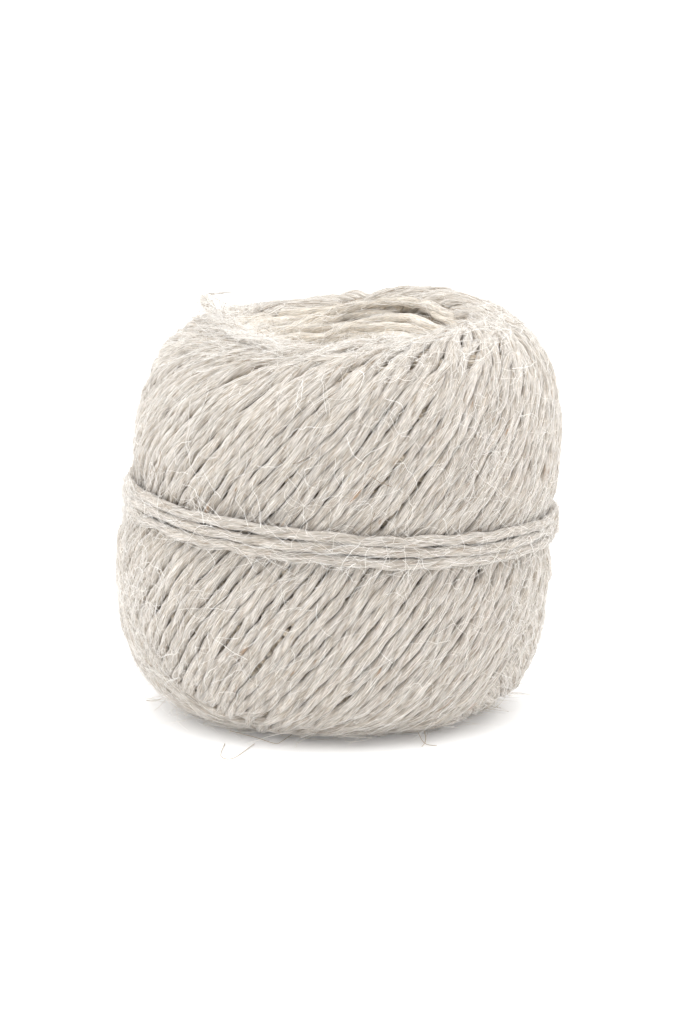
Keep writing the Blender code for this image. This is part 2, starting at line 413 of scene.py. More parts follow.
# The loose end is painted paler than the wound turns: partly the pale fuzz of its frayed fibres and partly
# painted light for the brightly lit left of the rim.
end_finish = twine_finish(
    "end_twine_finish", (0.76, 0.73, 0.69), (0.66, 0.625, 0.575), (0.48, 0.43, 0.36), 0.77
)


def barrel_radius(height):
    """Radius of the barrel at a height over its middle."""
    rest = 1.0 - np.abs(height / HALF_HEIGHT) ** END_POWER
    swell = SWELL * np.exp(-(((height - SWELL_PLACE) / SWELL_REACH) ** 2))
    return BALL_RADIUS * np.maximum(rest, 0.0) ** (1.0 / SIDE_POWER) + swell


def settle(radius, longitude, height):
    """Places a point of the even barrel on the ball as it has slumped, with the floor at height 0."""
    across = radius * np.cos(longitude)
    upper = np.clip(height / HALF_HEIGHT, 0.0, 1.0) ** 2
    lower = np.clip(-height / TURNING_HEIGHT, 0.0, 1.0) ** 2
    slide = SLUMP * (np.tanh(height / SLUMP_REACH) + 1.0) - BASE_SHIFT * (1.0 - lower)
    wave = RIM_WAVE * np.cos(RIM_WAVES * (longitude - RIM_CREST))
    dip = NEAR_DIP * np.exp((np.cos(longitude - NEAR_DIP_PLACE) - 1.0) / NEAR_DIP_REACH)
    return np.stack((
        across + slide,
        radius * np.sin(longitude),
        TURNING_HEIGHT + height + upper * (RIM_TILT * across - RIM_SINK + wave - dip),
    ), axis=-1)


def rim_height(radius):
    """Height of the rim's top over the barrel's middle at a distance from the axis."""
    outer = np.linspace(TURNING_HEIGHT, RIM_TABLE_DEPTH * TURNING_HEIGHT, RIM_TABLE_STEPS)
    radii = [LIP_RADIUS, 0.5 * (LIP_RADIUS + TURNING_RADIUS)] + list(barrel_radius(outer))
    heights = [TURNING_HEIGHT - LIP_FALL, TURNING_HEIGHT] + list(outer)
    return np.interp(radius, radii, heights)


end_knots = []
for degrees, radius, over in END_ROUTE:
    knot = settle(radius, np.radians(degrees), rim_height(radius))
    end_knots.append(knot + (0.0, 0.0, END_DIAMETER / 2 + over))
end_path = smooth_route(end_knots, END_STEP)
end_run = length_along(end_path)
end_path[:, 2] -= END_SINK * eased(np.clip(1.0 - end_run / END_SINK_LENGTH, 0.0, 1.0))
end_path[:, 2] -= END_REST * eased(np.clip((end_run[-1] - end_run) / END_TIP_LENGTH, 0.0, 1.0))
end_spun = [spun(end_path, np.random.default_rng(5), END_UNEVEN)]
loose_end = lay_string(
    "loose_end_string", end_spun, end_finish, END_DIAMETER, groove=0.10, sides=16
)
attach(loose_end, "root")
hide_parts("loose_end")

# The wound turns
# One long string, wound on the slant over side, rim and base again and again, each turn a little further
# round, so that it crosses itself everywhere. The newest turns show; they dive under where they began.
TURNS = 100
AGE_JITTER = 0.10
TABLE_STEPS = 4000
SLOPE_STEP = 0.0004
TURN_ANGLE_STEP = np.radians(0.5)
TURN_LEAST_POINTS = 12
TANGENT_MARGIN = 1.000001
LAST_TURN = np.radians(5.0)
WAIST_TILT = np.radians(4.2)
WAIST_RISE = 0.0010
PINCH = 0.0019
PINCH_REACH = 0.0055
SHOULDER_DIP = 0.0011
SHOULDER_DIP_HEIGHT = 0.0265
SHOULDER_DIP_REACH = 0.0075
SHOULDER_DIP_SPREAD = 0.22
CENTRE_DEPTH = 0.0010
TURN_DIAMETER = 0.00220
TOP_STEP = 0.0013
UNDER_STEP = 0.0023
COVERED_DEPTH = 0.0013
COVERED_LEAST = 0.25
DIVE = 0.0019
DIVE_LENGTH = 0.006
DIVE_EARLY = 0.3
TAIL = 0.009
FLOOR_GAP = 0.00128
SPREAD = (-0.0034, 0.0004, 0.0026, 0.0050)
SPREAD_JITTER = 0.0006
SPREAD_FROM = 0.030
SIDE_WANDER = 0.00022
SIDE_WAVES = (0.019, 0.034, 0.063)
LEVEL_WANDER = 0.00020
LEVEL_WAVES = (0.013, 0.027, 0.055)
PIECE_POINTS = 8200
# Radius and height of the turns' middle line where they bend over the rim into the open middle.
RIM_INSIDE = ((0.0234, 0.0388), (0.0222, 0.0382), (0.0210, 0.0372), (0.0198, 0.0361), (0.0180, 0.0344))

wound_finish = twine_finish(
    "natural_twine_finish", (0.615, 0.575, 0.528), (0.49, 0.447, 0.393), (0.31, 0.24, 0.168), 0.745
)
# The covered turns are the same twine painted darker and browner: painted shade for the gaps between the
# newest turns, through which they show.
covered_painted_shade_finish = twine_finish(
    "covered_twine_painted_shade", (0.58, 0.515, 0.425), (0.48, 0.405, 0.315), (0.32, 0.245, 0.165), 0.75
)


def side_tables():
    """Radius, height, length and longitude covered, from the waist up to the turning circle."""
    heights = TURNING_HEIGHT * np.sin(np.linspace(0.0, np.pi / 2, TABLE_STEPS))
    radii = barrel_radius(heights)
    middle = np.maximum((radii[1:] + radii[:-1]) / 2, TURNING_RADIUS * TANGENT_MARGIN)
    steps = np.hypot(np.diff(heights), np.diff(radii))
    climbed = np.concatenate((
        [0.0], np.cumsum(steps * TURNING_RADIUS / (middle * np.sqrt(middle ** 2 - TURNING_RADIUS ** 2)))
    ))
    lengths = np.concatenate(([0.0], np.cumsum(steps)))
    return radii, heights, lengths, climbed * (np.pi / 2) / climbed[-1]


side_radii, side_heights, side_lengths, side_climbs = side_tables()
SIDE_LENGTH = side_lengths[-1]
inside_radii, inside_heights = np.array(RIM_INSIDE).T
inside_steps = np.hypot(
    np.diff(inside_radii, prepend=side_radii[-1]), np.diff(inside_heights, prepend=side_heights[-1])
)
full_lengths = np.concatenate((side_lengths, SIDE_LENGTH + np.cumsum(inside_steps)))
full_radii = np.concatenate((side_radii, inside_radii))
full_heights = np.concatenate((side_heights, inside_heights))


def surface_place(length):
    """Radius and height at this length up or down from the waist, and the outward direction there."""
    away = np.abs(length)
    upper = length > 0.0

    def outline(reach):
        """Radius and distance from the waist's level at this length from the waist."""
        top_radius = np.interp(reach, full_lengths, full_radii)
        top_height = np.interp(reach, full_lengths, full_heights)
        base_height = np.interp(np.minimum(reach, SIDE_LENGTH), side_lengths, side_heights)
        base_radius = barrel_radius(-base_height) - np.maximum(reach - SIDE_LENGTH, 0.0)
        return np.where(upper, top_radius, base_radius), np.where(upper, top_height, base_height)

    radius, height = outline(away)
    near_radius, near_height = outline(away - SLOPE_STEP)
    far_radius, far_height = outline(away + SLOPE_STEP)
    across = far_height - near_height
    upwards = near_radius - far_radius
    size = np.hypot(across, upwards)
    sign = np.where(upper, 1.0, -1.0)
    return radius, height * sign, across / size, upwards / size * sign


def waist_height(longitude):
    """Height of the band's middle turn over the barrel's middle."""
    return WAIST_RISE - np.tan(WAIST_TILT) * BALL_RADIUS * np.cos(longitude)


def pinch(longitude, height):
    """How far the waist band draws the surface in at this place, and how far the left shoulder has sunk."""
    band = PINCH * np.exp(-(((height - waist_height(longitude)) / PINCH_REACH) ** 2))
    turned = (1.0 + np.cos(longitude)) / SHOULDER_DIP_SPREAD
    shoulder = SHOULDER_DIP * np.exp(-turned - ((height - SHOULDER_DIP_HEIGHT) / SHOULDER_DIP_REACH) ** 2)
    return band + shoulder


def on_ball(longitude, length, level):
    """Points of the ball at this level over or under the place of the newest turns' middle line."""
    radius, height, across, upwards = surface_place(length)
    out = level - CENTRE_DEPTH
    drawn = pinch(longitude, height)
    return settle(radius + across * out - drawn, longitude, height + upwards * out)


def turn_points(start, low, high, spread, level, chance):
    """A turn between two angles from where it crosses the waist, with its unevenness."""
    angles = np.linspace(low, high, max(int((high - low) / TURN_ANGLE_STEP), TURN_LEAST_POINTS))
    climb = np.where(angles <= np.pi / 2, angles, np.pi - angles)
    reach = np.sign(climb) * np.interp(np.abs(climb), side_climbs, side_lengths)
    share = eased(np.clip((np.abs(reach) - SPREAD_FROM) / (SIDE_LENGTH - SPREAD_FROM), 0.0, 1.0))
    reach = reach + np.sign(reach) * share * np.where(reach > 0.0, spread[0], spread[1])
    rough = on_ball(start + angles, reach, 0.0)
    along = length_along(rough)
    sideways = wander(along, SIDE_WANDER, SIDE_WAVES, chance)
    heading = np.gradient(rough, axis=0)
    heading /= np.linalg.norm(heading, axis=1)[:, None]
    slope = np.arctan2(heading[:, 2], np.hypot(heading[:, 0], heading[:, 1]))
    radius = surface_place(reach)[0]
    longitude = start + angles + sideways * np.sin(np.abs(slope)) / radius
    reach = reach + sideways * np.cos(slope) * np.where(angles <= np.pi / 2, -1.0, 1.0)
    lift = level + wander(along, LEVEL_WANDER, LEVEL_WAVES, chance)
    return longitude, reach, lift, along


def wound_lengths():
    """Every turn's lengths that show, and the lengths that lie covered under newer turns."""
    chance = np.random.default_rng(20)
    shown = []
    covered = []
    order = chance.permutation(TURNS)
    extra = TAIL / BALL_RADIUS
    for number in range(TURNS):
        age = 2 * np.pi * (number + 0.5 + chance.uniform(-AGE_JITTER, AGE_JITTER)) / TURNS
        start = LAST_TURN - age
        spread = [
            SPREAD[pick % len(SPREAD)] + chance.uniform(-SPREAD_JITTER, SPREAD_JITTER)
            for pick in (order[number], order[number] // len(SPREAD))
        ]
        up = (age - np.pi) / 2
        down = (age + np.pi) / 2
        for begin, end in ((up - extra, np.pi / 2 + extra), (down - extra, 3 * np.pi / 2 + extra)):
            longitude, reach, lift, along = turn_points(start, begin, end, spread, 0.0, chance)
            for distance in (along, along[-1] - along):
                sunk = np.clip((TAIL + DIVE_EARLY * DIVE_LENGTH - distance) / DIVE_LENGTH, 0.0, 1.0)
                lift = lift - DIVE * eased(sunk)
            shown.append(even_steps(on_ball(longitude, reach, lift), TOP_STEP))
        for begin, end in ((-np.pi / 2, up), (np.pi / 2, down)):
            if end - begin > COVERED_LEAST:
                longitude, reach, lift, along = turn_points(
                    start, begin, end, spread, -COVERED_DEPTH, chance
                )
                covered.append(even_steps(on_ball(longitude, reach, lift), UNDER_STEP))
    return shown, covered


def keep_over_floor(points):
    """The same points, none so low that the string would go into the floor."""
    points = points.copy()
    points[:, 2] = np.maximum(points[:, 2], FLOOR_GAP)
    return points


shown_turns, covered_turns = wound_lengths()
spin_chance = np.random.default_rng(8)
shown_spun = [spun(keep_over_floor(points), spin_chance) for points in shown_turns]
covered_spun = [spun(keep_over_floor(points), spin_chance) for points in covered_turns]
outer_pieces = []
waiting = []
for length_spun in shown_spun:
    waiting.append(length_spun)
    if sum(len(points) for points, _ in waiting) > PIECE_POINTS or length_spun is shown_spun[-1]:
        outer_pieces.append(
            lay_string(f"outer_turns_{len(outer_pieces) + 1}", waiting, wound_finish, TURN_DIAMETER)
        )
        waiting = []
covered_piece = lay_string(
    "covered_turns", covered_spun, covered_painted_shade_finish, TURN_DIAMETER, groove=0.2, sides=6
)
for piece in outer_pieces + [covered_piece]:
    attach(piece, "root")
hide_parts("wound_ball")

# The packed core
# Everything under the turns that show is string too, pressed so tight that it reads as one body; its mottled
# dark brown is painted shade for the gaps.
# It is a closed skin under the turns, open in the middle as the ball is.
CORE_DEPTH = 0.0026
CORE_ROWS = 60
CORE_COLUMNS = 96
CORE_TIP = 1e-4
CORE_WALL_BACK = 0.0026
CORE_WALL_DROP = 0.0022
CORE_SIDE_FROM = 0.03
# Radius and height of the inside wall, from the rim down to the blind end.
WALL_RADII = ((0.0234, 0.0384), (0.0212, 0.0365), (0.0190, 0.0346), (0.0163, 0.0318), (0.0151, 0.0286),
              (0.0133, 0.0250), (0.0124, 0.0210), (0.0109, 0.0168), (0.0101, 0.0124), (0.0092, 0.0076),
              (0.0080, 0.0032))


def core_skin():
    """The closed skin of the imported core, ring by ring from under the base to the blind end."""
    radius, height, across, upwards = surface_place(np.linspace(-SIDE_LENGTH, SIDE_LENGTH, CORE_ROWS))
    rings = [(CORE_TIP, -TURNING_HEIGHT + CORE_DEPTH)]
    rings += list(zip(radius - across * CORE_DEPTH, height - upwards * CORE_DEPTH))
    rings += [(radius + CORE_WALL_BACK, height - CORE_WALL_DROP) for radius, height in WALL_RADII]
    rings.append((CORE_TIP, WALL_RADII[-1][1] - CORE_WALL_DROP))
    longitudes = 2 * np.pi * np.arange(CORE_COLUMNS) / CORE_COLUMNS
    points = []
    for radius, height in rings:
        drawn = pinch(longitudes, height) * (radius > CORE_SIDE_FROM)
        points.append(settle(radius - drawn, longitudes, np.full(CORE_COLUMNS, height)))
    points = np.concatenate(points)
    faces = []
    for row in range(len(rings) - 1):
        low = row * CORE_COLUMNS
        high = low + CORE_COLUMNS
        for column in range(CORE_COLUMNS):
            after = (column + 1) % CORE_COLUMNS
            faces.append((low + column, low + after, high + after, high + column))
    faces.append(tuple(reversed(range(CORE_COLUMNS))))
    faces.append(tuple(range(len(points) - CORE_COLUMNS, len(points))))
    mesh = bpy.data.meshes.new("packed_core")
    mesh.from_pydata([tuple(p) for p in points], [], faces)
    mesh.shade_smooth()
    return mesh


def core_material():
    """Shaded string seen only through the gaps."""
    material = bpy.data.materials.new("packed_core_finish")
    material.use_nodes = True
    material.node_tree.nodes.clear()
    tree = Tree(material.node_tree)
    place = tree.add("ShaderNodeTexCoord").out("Object")
    mottle = tree.add("ShaderNodeTexNoise", None, {
        "Vector": place, "Scale": 700.0, "Detail": 3.0,
    }).out("Fac")
    # Painted shade: a mottled dark brown, standing for the shade deep in the gaps between the turns.
    colour = tree.add("ShaderNodeMix", {"data_type": "RGBA"}, {
        "Factor": mottle, "A": (0.46, 0.36, 0.25, 1.0), "B": (0.58, 0.48, 0.36, 1.0),
    }).out("Result")
    bump = tree.add("ShaderNodeBump", None, {"Strength": 0.8, "Distance": 0.0005, "Height": mottle}).out()
    shader = tree.add("ShaderNodeBsdfPrincipled", None, {
        "Base Color": colour, "Roughness": 0.95, "Normal": bump,
    })
    tree.add("ShaderNodeOutputMaterial", None, {"Surface": shader.out()})
    return material


packed_core = bpy.data.objects.new("packed_core", core_skin())
packed_core.data.materials.append(core_material())
bpy.context.scene.collection.objects.link(packed_core)
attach(packed_core, "root")
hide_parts("wound_ball")

# The open middle
# The first turns of the ball, seen from inside: slack loops lying close round the hole, one under another.
# Where a loop has pulled back, the one over it bulges out and shades the pocket.
INNER_ROWS = 20
INNER_TOP = 0.0368
INNER_PITCH = 0.0016
INNER_STEP = 0.0012
INNER_POINTS = 70
INNER_PLACES = (65, 128, 192, 310)
INNER_PLACE_JITTER = 0.16
INNER_HALF = np.radians(74)
INNER_LEVEL_JITTER = 0.0003
INNER_DROOP_AHEAD = (0.0044, 0.0058)
INNER_DROOP_BEHIND = (0.0018, 0.0028)
INNER_FLOOR_GAP = 0.0008
INNER_SET_BACK = 0.0004
INNER_TUCK = 0.0032
INNER_TUCK_POWER = 8
INNER_WANDER = 0.0003
INNER_WAVES = (0.011, 0.023)
COIL_TURNS = 4
COIL_TURN_POINTS = 40
COIL_START = 0.0008
COIL_PITCH = 0.0020
COIL_LEVEL = 0.0004
COIL_RISE = 0.0006
# Degrees round the hole, height, half width in degrees, half height, and how far the wall lies back.
POCKETS = (
    (70, 0.0348, 25, 0.0012, 0.0042),
    (14, 0.0332, 13, 0.0022, 0.0038),
    (88, 0.0318, 10, 0.0008, 0.0022),
    (112, 0.0296, 10, 0.0008, 0.0022),
    (60, 0.0376, 30, 0.0010, -0.0015),
)

# The twine in the open middle is painted paler than the outer turns: painted light to make up for the shade
# deep in the hole.
inner_painted_light_finish = twine_finish(
    "inner_twine_painted_light", (0.76, 0.71, 0.635), (0.69, 0.63, 0.55), (0.54, 0.455, 0.35), 0.77
)
wall_radii, wall_heights = np.array(WALL_RADII[::-1]).T


def pocket(longitude, height):
    """How far the inside wall lies back at this place."""
    depth = np.zeros(len(longitude))
    for degrees, level, wide, high, back in POCKETS:
        turned = (longitude - np.radians(degrees) + np.pi) % (2 * np.pi) - np.pi
        depth += back * np.exp(-(turned / np.radians(wide)) ** 2 - ((height - level) / high) ** 2)
    return depth


def inner_lengths():
    """Loops on the wall of the open middle, with both ends of each tucked in, and a coil on its floor."""
    chance = np.random.default_rng(31)
    lengths = []
    for row in range(INNER_ROWS):
        for place in INNER_PLACES:
            middle = np.radians(place) + chance.uniform(-INNER_PLACE_JITTER, INNER_PLACE_JITTER)
            across = np.linspace(-1.0, 1.0, INNER_POINTS)
            height = INNER_TOP - INNER_PITCH * row + chance.uniform(-INNER_LEVEL_JITTER, INNER_LEVEL_JITTER)
            ahead = chance.uniform(*INNER_DROOP_AHEAD)
            behind = chance.uniform(*INNER_DROOP_BEHIND)
            height = height - np.where(across > 0.0, ahead, behind) * across ** 2
            height = np.maximum(height, wall_heights[0] + INNER_FLOOR_GAP)
            ring = np.interp(height, wall_heights, wall_radii)
            longitude = middle + INNER_HALF * across
            radius = ring + INNER_SET_BACK + INNER_TUCK * np.abs(across) ** INNER_TUCK_POWER
            radius = radius + pocket(longitude, height)
            radius = radius + wander(ring * longitude, INNER_WANDER, INNER_WAVES, chance)
            lengths.append(even_steps(settle(radius, longitude, height), INNER_STEP))
    longitude = np.linspace(0.0, 2 * np.pi * COIL_TURNS, COIL_TURN_POINTS * COIL_TURNS)
    radius = COIL_START + COIL_PITCH * longitude / (2 * np.pi)
    height = wall_heights[0] + COIL_LEVEL + COIL_RISE * (radius / wall_radii[0]) ** 2
    lengths.append(even_steps(settle(radius, longitude, height), INNER_STEP))
    return lengths


inner_chance = np.random.default_rng(12)
inner_spun = [spun(points, inner_chance) for points in inner_lengths()]
inner_turns = lay_string("inner_turns", inner_spun, inner_painted_light_finish, TURN_DIAMETER, groove=0.11, sides=9)
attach(inner_turns, "root")

# The underside
# The turns that cross the base, pressed flat where the ball stands.
# They are chords of the flat spot, at slightly different levels over the floor.
BASE_CHORDS = 44
BASE_REACH = 0.0235
BASE_OFFSET = 0.85
BASE_BOW = 0.0012
BASE_LEVEL = 0.00120
BASE_LEVEL_RISE = 0.0018
BASE_POINTS = 30
BASE_STEP = 0.0016
GOLDEN_TURN = 0.381966

base_chance = np.random.default_rng(17)
base_lengths = []
for number in range(BASE_CHORDS):
    direction = 2 * np.pi * number * GOLDEN_TURN
    offset = base_chance.uniform(-BASE_OFFSET, BASE_OFFSET) * BASE_REACH
    half_chord = np.sqrt(BASE_REACH ** 2 - offset ** 2)
    along_chord = np.linspace(-half_chord, half_chord, BASE_POINTS)
    bow = BASE_BOW * np.cos(np.pi * along_chord / (2 * half_chord)) * base_chance.uniform(-1.0, 1.0)
    beside_chord = offset + bow
    points = np.stack((
        along_chord * np.cos(direction) - beside_chord * np.sin(direction),
        along_chord * np.sin(direction) + beside_chord * np.cos(direction),
        np.full(BASE_POINTS, BASE_LEVEL + BASE_LEVEL_RISE * (number / BASE_CHORDS)),
    ), axis=-1)
    base_lengths.append(spun(even_steps(points, BASE_STEP), base_chance))
base_turns = lay_string("base_turns", base_lengths, wound_finish, sides=8)
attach(base_turns, "root")

# The waist band
# Three turns of the same string, pulled tight round the waist so that they draw the ball in.
# They lie side by side over the front and crowd together, one half over the next, at either side.
WAIST_TURNS = 3
WAIST_PITCH = 0.0021
WAIST_GAP = 0.0003
WAIST_DIAMETER = 0.00215
CROWD_REACH = np.radians(15.0)
CROWD = 0.38
CROWD_LIFT = 0.0002
WAIST_LAY = 0.019
WAIST_STEP = 0.0007
WAIST_POINTS = 900
WAIST_WANDER = 0.00014
WAIST_WAVES = (0.009, 0.021, 0.047)

waist_finish = twine_finish(
    "waist_twine_finish", (0.61, 0.568, 0.518), (0.485, 0.44, 0.385), (0.30, 0.24, 0.175), 0.74
)


def waist_lengths():
    """The three turns of the band, each closed on itself behind the ball."""
    chance = np.random.default_rng(3)
    longitude = np.linspace(0.5 * np.pi, 2.5 * np.pi, WAIST_POINTS)
    along = BALL_RADIUS * (longitude - longitude[0])
    fade = np.sin(0.5 * (longitude - longitude[0])) ** 0.5
    crowd = sum(np.exp(-((longitude - limb) / CROWD_REACH) ** 2) for limb in (np.pi, 2 * np.pi))
    drawn = PINCH * np.exp(-((WAIST_PITCH / PINCH_REACH) ** 2))
    lengths = []
    for turn in range(WAIST_TURNS):
        side = (WAIST_TURNS - 1) / 2 - turn
        offset = side * WAIST_PITCH * (1.0 - CROWD * crowd)
        offset = offset + fade * wander(along, WAIST_WANDER, WAIST_WAVES, chance)
        height = waist_height(longitude) + offset
        radius = barrel_radius(height) - drawn + WAIST_GAP + STRING_DIAMETER / 2
        if side == 0:
            radius = radius + CROWD_LIFT * crowd
        lengths.append(even_steps(settle(radius, longitude, height), WAIST_STEP))
    return lengths


waist_chance = np.random.default_rng(4)
waist_spun = [spun(points, waist_chance, lay_length=WAIST_LAY) for points in waist_lengths()]
waist_turns = lay_string("waist_turns", waist_spun, waist_finish, WAIST_DIAMETER, groove=0.16)
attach(waist_turns, "root")
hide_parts("waist_band")

# The stray fibres
# Bast fibres have worked loose from the string everywhere. Most still lie along it, close to its surface;
# fewer cross it in slack curls or stand off, and the longest hang at the base and lie on the floor.
FIBRE_DIAMETER = 0.00008
STRAY_DIAMETER = 0.00012
FUZZ_DIAMETER = 0.00010
FIBRE_SHORTEST = 0.45
FIBRE_CLEARANCE = (0.00001, 0.0001)
FIBRE_THICKNESS = (0.6, 1.3)
FIBRE_TAPER = 0.5
FIBRE_KINK = 0.4
PALE_TONES = 0.55
BROWN_STEP = 0.45
OVERRUN_ASIDE = 0.7
BODY_RING = 0.026
BODY_HALF_WIDTH = 0.015
BODY_MIDDLE = 0.039

RIM_LOOP_ROWS = 9

# The kinds of fibre: those that lie along the string, stray hairs, the web of hairs at the loose end, and
# fuzz. For each, the longest one, its points, how far it leans from the string's run and curls, how far its
# free end lifts, and the share of brown ones.
LYING = (0.0075, 4, 0.22, 0.35, 0.0004, 0.22)
STRAY = (0.0100, 8, 1.0, 1.1, 0.0016, 0.06)
WEB = (0.0042, 5, 1.3, 0.8, -0.0022, 0.05)
FUZZ = (0.0045, 6, 1.2, 1.6, 0.0012, 0.0)
# The place and the reach of each tuft of fuzz.
FUZZ_SPOTS = (
    ((-0.0390, -0.0080, 0.0430), 0.0055), ((-0.0370, -0.0140, 0.0280), 0.0085),
    ((0.0340, -0.0200, 0.0260), 0.0060), ((0.0400, -0.0120, 0.0420), 0.0040),
    ((0.0270, -0.0290, 0.0540), 0.0060), ((-0.0230, -0.0190, 0.0740), 0.0060),
    ((0.0230, -0.0050, 0.0760), 0.0060), ((0.0000, 0.0400, 0.0450), 0.0055),
    ((-0.0200, 0.0330, 0.0250), 0.0055), ((0.0250, 0.0300, 0.0600), 0.0055),
    ((-0.0340, -0.0190, 0.0140), 0.0070), ((-0.0100, -0.0260, 0.0760), 0.0060),
    ((0.0110, -0.0260, 0.0750), 0.0060), ((-0.0310, -0.0100, 0.0700), 0.0070),
)
# The points of each loose curl that lies at the foot of the ball.
FLOOR_CURLS = (
    ((-0.0209, -0.0301, 0.0001), (-0.0215, -0.0389, 0.0001), (-0.0201, -0.0415, 0.0001),
     (-0.0186, -0.0398, 0.0001), (-0.0153, -0.0301, 0.0001)),
    ((-0.0201, -0.0225, 0.0006), (-0.0161, -0.0245, 0.0001), (-0.0115, -0.0300, 0.0001),
     (-0.0107, -0.0295, 0.0001), (-0.0079, -0.0240, 0.0006)),
    ((-0.0330, 0.0020, 0.0010), (-0.0350, 0.0024, 0.0001), (-0.0366, 0.0030, 0.0001)),
    ((0.0150, -0.0250, 0.0018), (0.0165, -0.0300, 0.0002), (0.0188, -0.0318, 0.0001)),
    ((0.0165, -0.0245, 0.0016), (0.0168, -0.0290, 0.0004), (0.0160, -0.0325, 0.0001)),
)
CURL_DIAMETER = 0.00016
CURL_STEP = 0.0010
CURL_UNEVEN = 0.1
CURL_TONE = 0.76


def fibre_material():
    """Loose fibre, from white to brown by its tone; its near-white tones are partly bleached fibre and partly
    painted highlight for hairs that catch the light.
    """
    material = bpy.data.materials.new("loose_fibre_finish")
    material.use_nodes = True
    material.node_tree.nodes.clear()
    tree = Tree(material.node_tree)
    tone = tree.add("ShaderNodeAttribute", {"attribute_name": "tone"}).out("Fac")
    colour = tree.add("ShaderNodeValToRGB", {"stops": (
        (0.0, (0.98, 0.965, 0.94, 1.0)), (0.5, (0.84, 0.80, 0.745, 1.0)), (0.8, (0.50, 0.42, 0.33, 1.0)),
        (1.0, (0.22, 0.14, 0.08, 1.0)),
    )}, {"Fac": tone}).out("Color")
    shader = tree.add("ShaderNodeBsdfPrincipled", None, {
        "Base Color": colour, "Roughness": 0.7, "Specular IOR Level": 0.4,
    })
    tree.add("ShaderNodeOutputMaterial", None, {"Surface": shader.out()})
    return material


loose_fibre_finish = fibre_material()


def away_from_body(points):
    """The direction out of the wound body at points on its side, rim, base or inside wall."""
    ring = np.hypot(points[:, 0], points[:, 1])
    out = ((ring - BODY_RING) / BODY_HALF_WIDTH) ** 3
    up = ((points[:, 2] - BODY_MIDDLE) / BODY_MIDDLE) ** 3
    away = np.column_stack((points[:, 0] / ring * out, points[:, 1] / ring * out, up))
    return away / np.linalg.norm(away, axis=1)[:, None]


def string_frames(lengths):
    """All points' places, outward and sideways directions and steps, and the ends of each one's length."""
    places = np.concatenate([points for points, _ in lengths])
    heading = np.concatenate([np.gradient(points, axis=0) for points, _ in lengths])
    step = np.linalg.norm(heading, axis=1)
    heading = heading / step[:, None]
    away = away_from_body(places)
    away -= heading * np.sum(away * heading, axis=1)[:, None]
    away /= np.linalg.norm(away, axis=1)[:, None]
    counts = np.array([len(points) for points, _ in lengths])
    ends = np.cumsum(counts)
    first = np.repeat(ends - counts, counts)
    last = np.repeat(ends - 1, counts)
    return places, away, np.cross(heading, away), step, first, last


def loosened(lengths, diameter, count, kind, spots, chance):
    """Fibres of one kind that start on the string, anywhere or near one of the spots, and run along it."""
    longest, points, lean, curl, lift, brown = kind
    places, away, aside, step, first, last = string_frames(lengths)
    likely = np.ones(len(places))
    if spots:
        likely = sum(
            np.exp(-(np.linalg.norm(places - place, axis=1) / reach) ** 2) for place, reach in spots
        )
    start = chance.choice(len(places), count, p=likely / likely.sum())
    share = np.linspace(0.0, 1.0, points)
    stride = longest * chance.uniform(FIBRE_SHORTEST, 1.0, (count, 1)) / (points - 1)
    heading = chance.normal(0.0, lean, (count, 1)) + chance.normal(0.0, curl, (count, 1)) * share
    heading = heading + chance.normal(0.0, FIBRE_KINK * curl, (count, points)).cumsum(axis=1)
    ahead = np.cumsum(stride * np.cos(heading), axis=1) * chance.choice((-1.0, 1.0), (count, 1))
    side = np.cumsum(stride * np.sin(heading), axis=1)
    own_step, own_first, own_last = [values[start][:, None] for values in (step, first, last)]
    wanted = start[:, None] + ahead / own_step
    at = np.clip(wanted, own_first, own_last)
    low = np.minimum(at.astype(int), own_last - 1)
    part = (at - low)[:, :, None]
    centre = places[low] * (1.0 - part) + places[low + 1] * part
    round_angle = chance.uniform(-1.0, 1.0, (count, 1))
    overrun = np.abs(wanted - at) * own_step
    beside = np.sin(round_angle) * diameter / 2 + side + overrun * OVERRUN_ASIDE
    over = diameter / 2 * (np.cos(round_angle) * (1.0 - share) + share)
    over = over + chance.uniform(*FIBRE_CLEARANCE, (count, 1))
    over = over + lift * chance.uniform(0.0, 1.0, (count, 1)) ** 2 * share ** 2
    paths = centre + aside[low] * beside[:, :, None] + away[low] * over[:, :, None]
    paths[:, :, 2] = np.maximum(paths[:, :, 2], FIBRE_DIAMETER)
    thick = chance.uniform(*FIBRE_THICKNESS, (count, 1)) * (1.0 - FIBRE_TAPER * share)
    tone = chance.uniform(0.0, PALE_TONES, count) + BROWN_STEP * (chance.uniform(0.0, 1.0, count) < brown)
    flat = np.zeros(points)
    return [
        (route, dict(zip(PATH_VALUES, (size, flat, flat, np.full(points, shade)))))
        for route, size, shade in zip(paths, thick, tone)
    ]


def add_fibres(name, fibres, diameter):
    """Makes one piece of fibres, which rides on the ball."""
    piece = lay_string(name, fibres, loose_fibre_finish, diameter, groove=0.0, sides=3)
    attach(piece, "root")


fibre_chance = np.random.default_rng(6)
half_way = len(shown_spun) // 2
rim_loops = inner_spun[:RIM_LOOP_ROWS * len(INNER_PLACES)]
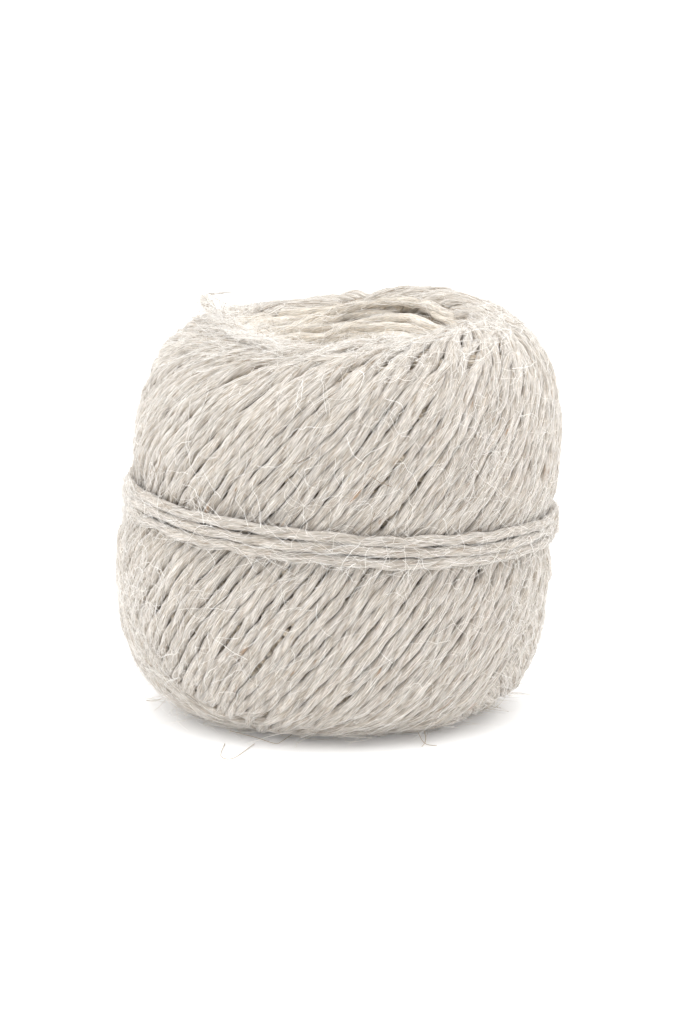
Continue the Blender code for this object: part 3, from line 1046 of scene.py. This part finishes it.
# Each piece of fibres and their thickness. Then the strings they come from and how thick those are, how many
# fibres there are, of which kind, and near which spots.
FIBRE_PIECES = (
    ("lying_fibres_1", FIBRE_DIAMETER, (
        (shown_spun[:half_way], TURN_DIAMETER, 5800, LYING, ()),
    )),
    ("lying_fibres_2", FIBRE_DIAMETER, (
        (shown_spun[half_way:], TURN_DIAMETER, 4200, LYING, ()),
    )),
    ("inner_and_waist_fibres", FIBRE_DIAMETER, (
        (rim_loops, TURN_DIAMETER, 2200, LYING, ()),
        (waist_spun, WAIST_DIAMETER, 1200, LYING, ()),
        (end_spun, END_DIAMETER, 300, LYING, ()),
    )),
    ("stray_fibres", STRAY_DIAMETER, (
        (shown_spun, TURN_DIAMETER, 1800, STRAY, ()),
        (waist_spun, WAIST_DIAMETER, 220, STRAY, ()),
        (rim_loops, TURN_DIAMETER, 380, STRAY, ()),
        (end_spun, END_DIAMETER, 60, STRAY, ()),
    )),
    ("fuzz", FUZZ_DIAMETER, (
        (shown_spun + waist_spun, TURN_DIAMETER, 2600, FUZZ, FUZZ_SPOTS),
        (end_spun, END_DIAMETER, 620, WEB, ()),
    )),
)
for piece_name, fibre_diameter, sources in FIBRE_PIECES:
    fibres = []
    for source in sources:
        fibres += loosened(*source, fibre_chance)
    add_fibres(piece_name, fibres, fibre_diameter)
floor_curls = [spun(smooth_route(curl, CURL_STEP), fibre_chance, CURL_UNEVEN) for curl in FLOOR_CURLS]
for points, values in floor_curls:
    values["tone"] = np.full(len(points), CURL_TONE)
add_fibres("floor_curls", floor_curls, CURL_DIAMETER)

# The floor and the light
# A plain white table, with even light from all round, a soft light from above and a weaker one at each side.
FLOOR_REACH = 4.0
WHITE = (1.0, 1.0, 1.0, 1.0)
FLOOR_FINISH = {
    "Base Color": (0.92, 0.92, 0.92, 1.0), "Roughness": 0.9,
    "Emission Color": WHITE, "Emission Strength": 0.12,
}
WORLD_LIGHT = 1.05
# The name, place, side and watts of each light.
LIGHTS = (
    ("top_light", (-0.05, -0.02, 1.2), 1.6, 13.5),
    ("left_light", (-1.1, 0.20, 0.55), 1.2, 6.0),
    ("right_light", (1.1, 0.20, 0.55), 1.2, 6.0),
)

floor_mesh = bpy.data.meshes.new("floor")
floor_corners = [(FLOOR_REACH * x, FLOOR_REACH * y, 0.0) for x, y in ((-1, -1), (1, -1), (1, 1), (-1, 1))]
floor_mesh.from_pydata(floor_corners, [], [(0, 1, 2, 3)])
floor = bpy.data.objects.new("floor", floor_mesh)
bpy.context.scene.collection.objects.link(floor)
floor_finish = bpy.data.materials.new("floor_finish")
floor_finish.use_nodes = True
for label, value in FLOOR_FINISH.items():
    floor_finish.node_tree.nodes["Principled BSDF"].inputs[label].default_value = value
floor_mesh.materials.append(floor_finish)

world = bpy.data.worlds.new("studio")
world.use_nodes = True
world.node_tree.nodes["Background"].inputs["Color"].default_value = WHITE
world.node_tree.nodes["Background"].inputs["Strength"].default_value = WORLD_LIGHT
bpy.context.scene.world = world
bpy.context.scene.view_settings.view_transform = "Standard"


def soft_light(name, place, side, watts):
    """A large square light that looks at the ball."""
    data = bpy.data.lights.new(name, "AREA")
    data.size = side
    data.energy = watts
    light = bpy.data.objects.new(name, data)
    light.location = place
    light.rotation_euler = (Vector(place) - CAMERA_TARGET).to_track_quat("Z", "Y").to_euler()
    bpy.context.scene.collection.objects.link(light)


for label, place, side, watts in LIGHTS:
    soft_light(label, place, side, watts)
